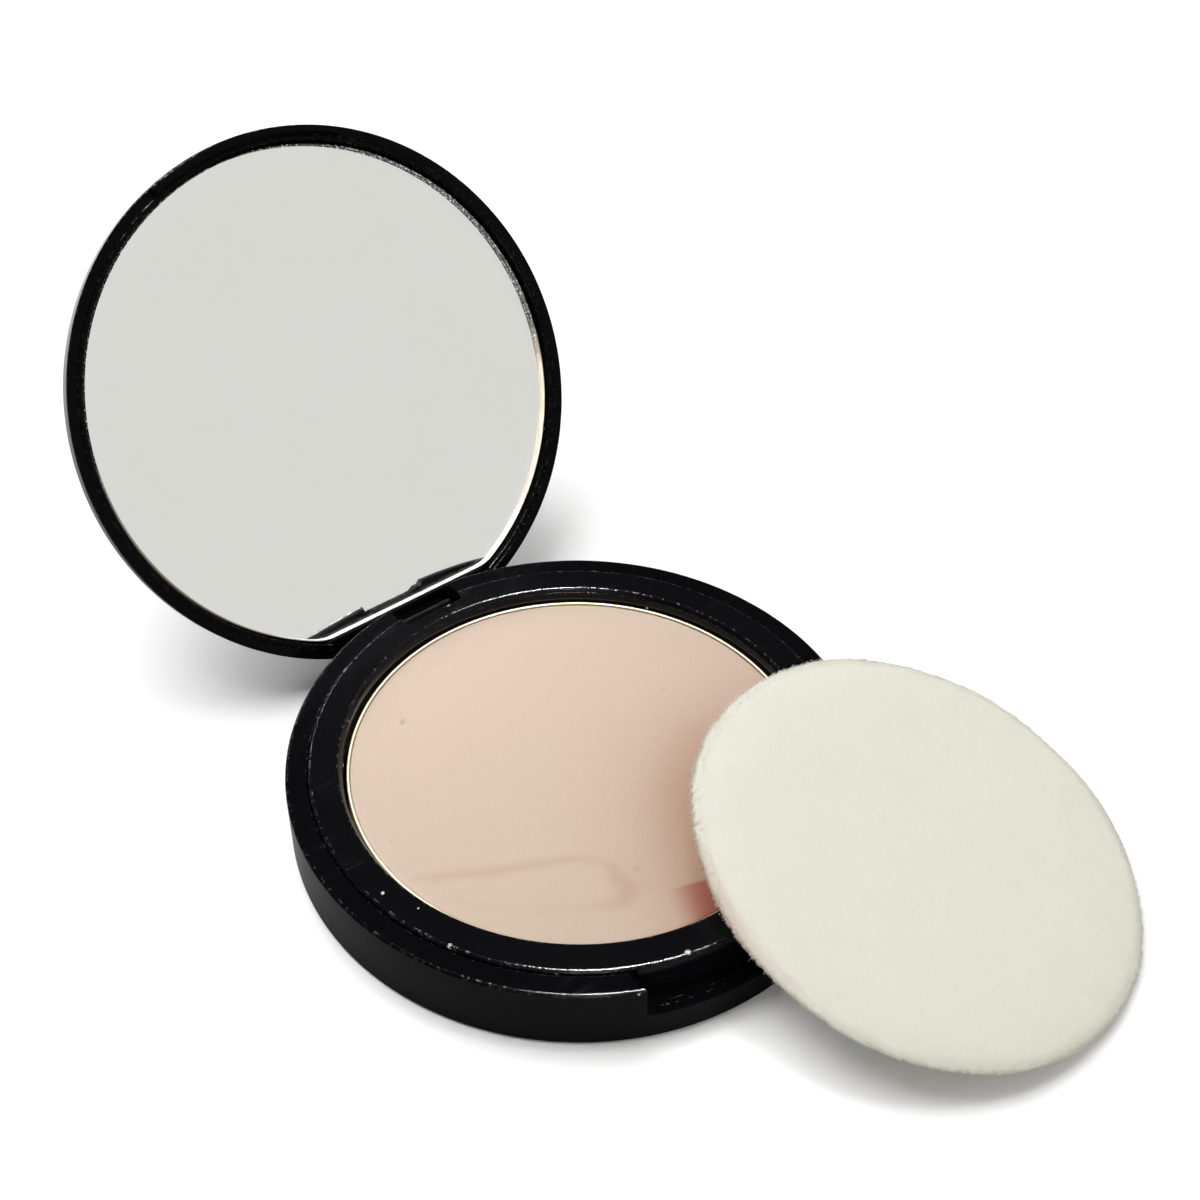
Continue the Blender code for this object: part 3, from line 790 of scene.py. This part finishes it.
def lid_shell():
    """Lid cover: a turned shallow dome, round-shouldered, with a thumb lip and a relieved rear rim."""
    inside = FRAME_RADIUS + 0.05 * MM
    corners = [
        (0, FRAME_BACK + 0.3 * MM), (inside, FRAME_BACK + 0.3 * MM, 0.2 * MM),
        (inside, LID_RIM, 0.1 * MM), (36.0 * MM, LID_RIM), (36.05 * MM, LID_RIM), (36.88 * MM, LID_RIM),
        (36.93 * MM, LID_RIM), (LID_RADIUS, LID_RIM, 0.16 * MM), (36.95 * MM, 12.2 * MM, 4 * MM),
        (36.5 * MM, 13.4 * MM, 2.5 * MM), (35.4 * MM, 14.55 * MM, 3 * MM),
        (33.4 * MM, 15.28 * MM, 7 * MM), (26.0 * MM, 15.65 * MM, 150 * MM),
        (14.0 * MM, 15.83 * MM, 300 * MM), (0, LID_TOP),
    ]
    contour, edge = outline(corners, 1.6 * MM)
    edge = edge * (contour[:, 1] < 11 * MM)
    grid = turned(contour, columns(1.0, LID_CROWD))
    radius = np.hypot(grid[..., 0], grid[..., 1])
    on_rim = smooth((radius - 36.0 * MM) / (0.05 * MM)) * smooth((36.93 * MM - radius) / (0.05 * MM))
    on_rim = on_rim * (grid[..., 2] < LID_RIM + 0.02 * MM)
    along = smooth((LIP_HALF - np.abs(grid[..., 0])) / BLEND) * (grid[..., 1] < 0)
    grid[..., 2] -= LIP_DROP * on_rim * along
    return surface("lid_cover", turn_open(relieved(grid, 12.4 * MM)), edge)


def mirror_frame():
    """Lid's inner frame: a turned tray with a thin upright rim, relieved behind."""
    corners = [
        (0, TRAY_FACE), (FRAME_INNER, TRAY_FACE, 0.1 * MM), (FRAME_INNER, LID_RIM, 0.16 * MM),
        (FRAME_RADIUS, LID_RIM, 0.1 * MM), (FRAME_RADIUS, FRAME_BACK, 0.1 * MM), (0, FRAME_BACK),
    ]
    contour, edge = outline(corners, 0.9 * MM)
    grid = turned(contour, columns(1.0, LID_CROWD))
    return surface("mirror_tray", turn_open(relieved(grid, TRAY_FACE)), edge)


def hinge_flat():
    """Flat between the mirror's straight side and the rim.

    Its section runs from the straight side to the arc of the rim and is carried along X; its face follows
    the relief where that is higher.
    """
    far = FRAME_INNER + 0.2 * MM
    reach = math.sqrt(far**2 - (FLAT_Y + 0.1 * MM) ** 2)
    inside = RELIEF_HALF - 0.12 * MM
    x = np.sort(np.append(np.linspace(-reach, reach, 150), (-inside, inside)))
    section, _ = outline([(0.5, 0), (0, 0, 0.045), (0, 1), (1, 1), (1, 0, 0.045), (0.5, 0)], 0.12)
    section = section[:-1]
    back = np.sqrt(far**2 - x**2)[:, None]
    y = FLAT_Y + section[:, 0] * (back - FLAT_Y)
    wide = np.broadcast_to(x[:, None], y.shape)
    face = np.maximum(relief(wide, y), FLAT_FACE)
    z = face + section[:, 1] * (TRAY_FACE + 0.1 * MM - face)
    return surface("hinge_flat_face", turn_open(capped(np.stack((wide, y, z), axis=-1))))


def hinge_lug():
    """Hinge lug: a plate that ends in a round barrel about the pin, carried along X with rounded ends."""
    plate_front, plate_back, root = 33.1 * MM, 35.3 * MM, 12.3 * MM
    low, front, back = HINGE_Z - LUG_BARREL, HINGE_Y - LUG_BARREL, HINGE_Y + LUG_BARREL
    middle = (plate_front + plate_back) / 2
    corners = [
        (middle, root), (plate_back, root, 0.1 * MM), (plate_back, 8.2 * MM, 0.5 * MM),
        (back, 7.1 * MM, 0.4 * MM), (back, low, LUG_BARREL * 0.98), (front, low, LUG_BARREL * 0.98),
        (plate_front, root, 0.1 * MM), (middle, root),
    ]
    section, _ = outline(corners, 0.5 * MM)
    section = section[:-1]
    bevel = 0.2 * MM
    angle = np.linspace(0, np.pi / 2, 5)
    inset = np.concatenate((bevel * (1 - np.sin(angle)), np.zeros(3), bevel * (1 - np.sin(angle))[::-1]))
    edge_x = LUG_HALF - bevel + bevel * np.cos(angle)
    x = np.concatenate((-edge_x, np.linspace(-1, 1, 3) * (LUG_HALF - 2 * bevel), edge_x[::-1]))
    centre = np.array((middle, 7.6 * MM))
    spread = section - centre
    shrink = 1 - inset[:, None, None] / np.linalg.norm(spread, axis=1)[None, :, None]
    yz = centre + spread[None] * shrink
    wide = np.broadcast_to(x[:, None], yz.shape[:2])
    return surface("hinge_lug_barrel", turn_open(capped(np.stack((wide, yz[..., 0], yz[..., 1]), axis=-1))))


def glass_outline(inset):
    """The mirror's outline drawn in by inset: a big arc, a straight side to the hinge, two round corners.

    Every arc keeps its centre and loses inset from its radius, so outlines of any inset match point by point.
    """
    corner = 6.5 * MM
    high = GLASS_FLAT - corner
    side = math.sqrt((GLASS_RADIUS - corner) ** 2 - high**2)
    join = math.atan2(side, high)
    swing = np.linspace(join, 2 * np.pi - join, 240)
    big = (GLASS_RADIUS - inset) * np.stack((np.sin(swing), np.cos(swing)), -1)
    bend = np.linspace(0, join, 12)[:-1]
    small = (corner - inset) * np.stack((np.sin(bend), np.cos(bend)), -1)
    right = np.array((side, high)) + small
    left = (np.array((side, high)) + small[::-1]) * (-1, 1)
    straight = np.linspace(-side, side, 40)[1:-1]
    top = np.stack((straight, np.full(len(straight), GLASS_FLAT - inset)), -1)
    return np.concatenate((right, big, left, top))


ARRIS = 0.14 * MM


def slab(rim):
    """Rows of the mirror's outline from a pole on the face, out over the rim and back to a pole behind."""
    face, back = (0.0, 0.5, 0.9, 0.995), (0.995, 0.5, 0.0)
    first, last = rim[0], rim[-1]
    rows = [(glass_outline(first[0]) * share, first[1]) for share in face]
    rows += [(glass_outline(inset), height) for inset, height in rim]
    rows += [(glass_outline(last[0]) * share, last[1]) for share in back]
    return np.array([np.column_stack((shape, np.full(len(shape), height))) for shape, height in rows])


def mirror_glass():
    """Glass pane: a clear slab with a small arris front and back; its rim takes the ground finish."""
    rim = [
        (ARRIS, GLASS_FACE), (0.0, GLASS_FACE + ARRIS), (0.0, GLASS_BACK - ARRIS), (ARRIS, GLASS_BACK),
    ]
    pane = surface("mirror_pane", turn_open(slab(rim)), sharp=20)
    facing = np.array((0, -math.sin(OPEN_ANGLE), -math.cos(OPEN_ANGLE)))
    on_rim = np.abs(read(pane.data.polygons, "normal", float) @ facing) < 0.95
    return pane, on_rim.astype(np.int32)


def mirror_silver():
    """Silver coat and its paint: a thin slab just behind the glass, drawn in from its edge."""
    front, back, inset = GLASS_BACK + 0.02 * MM, COAT_BACK, 0.1 * MM
    return surface("mirror_silver_coat", turn_open(slab([(inset, front), (inset, back)])), sharp=20)


# ---- the puff


def disc_frame(node):
    """Centre of a flat round node and a 3x3 turn whose third column is its upward normal."""
    co = node_points(node)
    centre = (co.min(0) + co.max(0)) / 2
    normal = np.linalg.svd(co - co.mean(0), full_matrices=False)[2][2]
    normal = normal * np.sign(normal[2])
    side = np.cross((0, 0, 1), normal)
    side = side / np.linalg.norm(side)
    return centre, np.stack((np.cross(side, normal), -side, normal), axis=-1)


PUFF_CENTRE, PUFF_TURN = disc_frame("puff_filling")
PUFF_CENTRE = PUFF_CENTRE + PUFF_TURN[:, 0] * 0.7 * MM
PUFF_RADIUS = 29.5 * MM
PUFF_HALF = 1.5 * MM
CLOTH_SCALE = 20.0
SOIL = np.array((-3.0, -33.0, 9.0)) * MM
HAIRS = 44000
HAIR_LENGTH = (0.15, 0.60)
HAIR_THICK = 0.030 * MM
HAIR_LEAN = 0.38


def lens_points(radius, half, angles, rows):
    """Grid of a flat disc with a full round edge: z = half (1 - s^6)^(1/2) over s = distance / radius."""
    s = np.sin(np.linspace(0, np.pi / 2, rows)) ** 0.8
    z = half * np.sqrt(np.clip(1 - s**6, 0, 1))
    upper = np.stack((s * radius, z), -1)
    lower = upper[-2::-1] * (1, -1)
    return turned(np.concatenate((upper, lower)), angles)


def inflate(piece):
    """Swells a pad with a short cloth simulation, done twenty times larger, and caps how far it may move."""
    cap = 0.3 * MM * CLOTH_SCALE
    piece.scale = (CLOTH_SCALE,) * 3
    bpy.context.view_layer.objects.active = piece
    bpy.ops.object.select_all(action="DESELECT")
    piece.select_set(True)
    bpy.ops.object.transform_apply(location=False, rotation=False, scale=True)
    remesh = piece.modifiers.new("remesh", "REMESH")
    remesh.mode = "VOXEL"
    remesh.voxel_size = 0.55 * MM * CLOTH_SCALE
    bpy.ops.object.modifier_apply(modifier="remesh")
    before = read(piece.data.vertices, kind=float)
    cloth = piece.modifiers.new("cloth", "CLOTH")
    cloth.settings.use_pressure = True
    cloth.settings.uniform_pressure_force = 4
    cloth.settings.effector_weights.gravity = 0
    scene = bpy.context.scene
    for step in range(1, 21):
        scene.frame_set(step)
    bpy.ops.object.modifier_apply(modifier="cloth")
    scene.frame_set(1)
    moved = read(piece.data.vertices, kind=float) - before
    length = np.linalg.norm(moved, axis=1, keepdims=True)
    moved = moved * np.minimum(1, cap / np.maximum(length, 1e-9))
    return (before + moved) / CLOTH_SCALE


def soiled(points):
    """Powder on the puff: a bell curve round the place where its edge has touched the powder."""
    away = np.linalg.norm(points - SOIL, axis=1) / (7.5 * MM)
    return (0.75 * np.exp(-(away**2))).astype(np.float32)


def puff():
    """Velour puff: a stuffed disc swollen by cloth simulation, nipped in along the seam round its edge."""
    drawn = surface("puff_pad", lens_points(PUFF_RADIUS - 0.25 * MM, PUFF_HALF - 0.25 * MM, columns(2.0), 40))
    flat = inflate(drawn)
    mesh = drawn.data
    distance = np.hypot(flat[:, 0], flat[:, 1])
    at_edge = smooth((distance / PUFF_RADIUS - 0.93) / 0.05)
    nip = 0.05 * MM * np.exp(-((flat[:, 2] / (0.16 * MM)) ** 2)) * at_edge
    flat[:, :2] *= (1 - nip / np.maximum(distance, 1e-9))[:, None]
    flat[:, 2] += 0.05 * MM * noise(flat[:, 0], flat[:, 1], 8 * MM, 5) * (1 - at_edge)
    flat[:, :2] *= (1 + 0.004 * noise(flat[:, 0], flat[:, 1], 16 * MM, 6))[:, None]
    edge = smooth((distance / PUFF_RADIUS - 0.90) / 0.1).astype(np.float32)
    lying = flat @ PUFF_TURN.T + PUFF_CENTRE
    mesh.vertices.foreach_set("co", lying.astype(np.float32).ravel())
    mark(mesh, "edge", edge)
    mark(mesh, "soil", soiled(lying) * edge)
    mesh.shade_smooth()
    mesh.update()
    finer = drawn.modifiers.new("finer", "SUBSURF")
    finer.levels = finer.render_levels = 1
    return drawn


def pile(body):
    """Velour pile along the puff's edge: thousands of short three-sided hairs that stand off the surface.

    Each hair grows from a spot of the pad chosen at random among those near the edge, along the surface's
    normal tilted by a random amount, and its foot is a small triangle sunk just under the surface.
    """
    rng = np.random.default_rng(SEED)
    count = len(body.data.vertices)
    points, normals = read(body.data.vertices), read(body.data.vertices, "normal")
    local = (points - PUFF_CENTRE) @ PUFF_TURN
    distance = np.hypot(local[:, 0], local[:, 1])
    weight = smooth((distance / PUFF_RADIUS - 0.90) / 0.10) + 0.02
    pick = rng.choice(count, HAIRS, p=weight / weight.sum())
    foot = points[pick] + rng.normal(0, 0.22 * MM, (HAIRS, 3))
    normal = normals[pick]
    foot = foot - normal * np.einsum("ij,ij->i", foot - points[pick], normal)[:, None]
    lean = normal + rng.normal(0, HAIR_LEAN, (HAIRS, 3))
    lean = lean / np.linalg.norm(lean, axis=1, keepdims=True)
    length = rng.uniform(*HAIR_LENGTH, HAIRS)[:, None] * MM
    across = np.cross(lean, rng.normal(0, 1, (HAIRS, 3)))
    across = across / np.linalg.norm(across, axis=1, keepdims=True)
    other = np.cross(lean, across)
    foot = foot - normal * 0.05 * MM
    turns = np.arange(3) * 2 * np.pi / 3
    feet = [foot + HAIR_THICK * (np.cos(t) * across + np.sin(t) * other) for t in turns]
    corners = np.stack((*feet, foot + lean * length), axis=1).reshape(-1, 3)
    pattern = np.array(((0, 1, 3), (1, 2, 3), (2, 0, 3), (2, 1, 0)))
    faces = (np.arange(HAIRS)[:, None, None] * 4 + pattern).reshape(-1, 3)
    mesh = bpy.data.meshes.new("puff_pile")
    mesh.from_pydata(corners.tolist(), [], faces.tolist())
    mark(mesh, "soil", soiled(corners))
    mesh.shade_smooth()
    mesh.update()
    return stand("puff_pile", mesh)


# ---- the studio


TABLE_HALF = 3.0


def floor():
    """A wide, faintly mottled white table top, held back in the black case's own reflections."""
    sheet, spot = new_material("white_table")
    white = mix(clouds(spot, 6.0, 2.0), (0.93, 0.93, 0.93), (0.96, 0.96, 0.96))
    behind = remap(axis(spot, 1), 0.06, 0.20, 0.78, 0.20)
    in_gloss = times(add("LightPath", {}, spot.id_data).outputs["Is Glossy Ray"], behind)
    colour = mix(in_gloss, white, (0.02, 0.02, 0.02))
    finish(sheet, Roughness=0.6, Specular_IOR_Level=0.1, Base_Color=colour)
    mesh = bpy.data.meshes.new("table_top")
    signs = ((-1, -1), (1, -1), (1, 1), (-1, 1))
    mesh.from_pydata([(x * TABLE_HALF, y * TABLE_HALF, 0) for x, y in signs], [], [(0, 1, 2, 3)])
    mesh.materials.append(sheet)
    stand("table_top", mesh)


def sky():
    """Surroundings: pale in front, where the mirror looks, and dim behind, to keep the black deep."""
    world = bpy.data.worlds.new("studio")
    bpy.context.scene.world = world
    world.use_nodes = True
    tree = world.node_tree
    way = add("TexCoord", {}, tree).outputs["Generated"]
    front = remap(along(way, (0.42, -0.9, 0.1)), -0.15, 0.45)
    walls = mix(front, (0.05, 0.05, 0.053), (0.745, 0.735, 0.72))
    whole = mix(remap(axis(way, 2), 0.82, 0.95), walls, (0.55, 0.55, 0.56))
    seen = mix(add("LightPath", {}, tree).outputs["Is Camera Ray"], whole, (0.88, 0.88, 0.88))
    feed(tree.nodes["Background"], {"Color": seen})


def look(holder, way):
    """Turns a light or a camera so that it looks along a way."""
    holder.rotation_mode = "QUATERNION"
    holder.rotation_quaternion = Vector(way).to_track_quat("-Z", "Y")


def lamp(name, place, size, power, glossy=True, diffuse=True):
    """A rectangular light that looks at the case's middle, with or without gloss and soft shading."""
    light = bpy.data.lights.new(name, "AREA")
    light.shape = "RECTANGLE"
    light.size, light.size_y = size
    light.energy = power
    holder = stand(name, light)
    holder.location = place
    look(holder, -np.array(place) / np.linalg.norm(place))
    holder.visible_glossy = glossy
    holder.visible_diffuse = diffuse
    return holder


CAMERA_TARGET = np.array((28.11, 39.41, 8.0)) * MM
CAMERA_AZIMUTH = math.radians(-37.47)
CAMERA_ELEVATION = math.radians(39.42)
CAMERA_DISTANCE = 260.1 * MM


def camera():
    """The camera stands in front on the left, looking down at the open case."""
    lens = bpy.data.cameras.new("studio_camera")
    lens.lens = 51.69
    lens.shift_x = 0.029
    lens.shift_y = -0.0678
    lens.clip_start = 0.01
    lens.clip_end = 20.0
    holder = stand("studio_camera", lens)
    flat = math.cos(CAMERA_ELEVATION)
    across = (math.sin(CAMERA_AZIMUTH) * flat, -math.cos(CAMERA_AZIMUTH) * flat)
    away = np.array((*across, math.sin(CAMERA_ELEVATION)))
    holder.location = CAMERA_TARGET + away * CAMERA_DISTANCE
    look(holder, -away)
    bpy.context.scene.camera = holder


def build_base():
    """The visible pieces of the base."""
    shell = gloss_black("case_black_base", 0.08, 0.6, 0.08)
    ring = gloss_black("case_black_ring", 0.13, 0.8, 0.13)
    settle(base_shell(), shell, "base", "case_black", "base_shell")
    settle(base_insert(), ring, "base", "case_black", "base_insert")
    settle(pan(), pan_material(), "base", "pan_metal", "pan")
    settle(powder(), powder_material(), "base", "pressed_powder", "powder_cake")
    settle(hinge_pin(), steel_material(), "base", "pin_steel", "hinge_pin")


def build_lid():
    """The lid's cover, its frame with the hinge, and the mirror."""
    black = gloss_black("case_black_lid", 0.04, 0.3, 0.05)
    cover = polished_outside(gloss_black("case_black_cover", 0.04, 0.3, 0.05))
    settle(lid_shell(), cover, "lid", "case_black", "lid_shell")
    settle(mirror_frame(), black, "lid", "case_black", "mirror_frame")
    settle(hinge_flat(), black, "lid", "case_black")
    settle(hinge_lug(), black, "lid", "case_black")
    pane, on_rim = mirror_glass()
    settle(pane, pane_material(), "lid", "mirror_glass", "mirror_glass")
    pane.data.materials.append(ground_glass_material())
    pane.data.polygons.foreach_set("material_index", on_rim)
    settle(mirror_silver(), silver_material(), "lid", "mirror_silver", "mirror_backing")


def build_puff():
    """The puff's pad, for its three nodes, and its pile."""
    velour = velour_material("puff_velour", 0.0)
    body = settle(puff(), velour, "puff", "puff_velour", "puff_face", "puff_back")
    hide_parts("puff_filling")
    settle(pile(body), velour_material("puff_pile", 0.5), "puff", "puff_velour")


def dress_hidden_nodes():
    """Hidden layers and the label keep the frame's own shape and get their finish."""
    foam = pulp_material("foam_tape", (0.86, 0.85, 0.81), (0.72, 0.71, 0.66), 2500.0)
    paper = pulp_material("label_paper", (0.84, 0.84, 0.82), (0.76, 0.76, 0.74), 5000.0)
    for node, material in (("pan_adhesive", foam), ("mirror_adhesive", foam), ("underside_label", paper)):
        slots = frame["nodes"][node].data.materials
        slots.clear()
        slots.append(material)


def lamps():
    """A strip whose glint crosses the rims, a small window in front and a wide soft light from behind."""
    glint = lamp("overhead_glint", (0.08, -0.03, 0.70), (0.14, 0.05), 60.0, diffuse=False)
    glint.rotation_quaternion = (math.cos(CAMERA_AZIMUTH / 2), 0.0, 0.0, math.sin(CAMERA_AZIMUTH / 2))
    lamp("window_glint", (-0.42, -0.62, 0.16), (0.07, 0.07), 2.2, diffuse=False)
    lamp("wide_softbox", (-0.13, 0.32, 0.80), (0.70, 0.70), 9.2, glossy=False)


camera()
floor()
sky()
lamps()
build_base()
build_lid()
build_puff()
dress_hidden_nodes()
bpy.context.scene.view_settings.view_transform = "Standard"
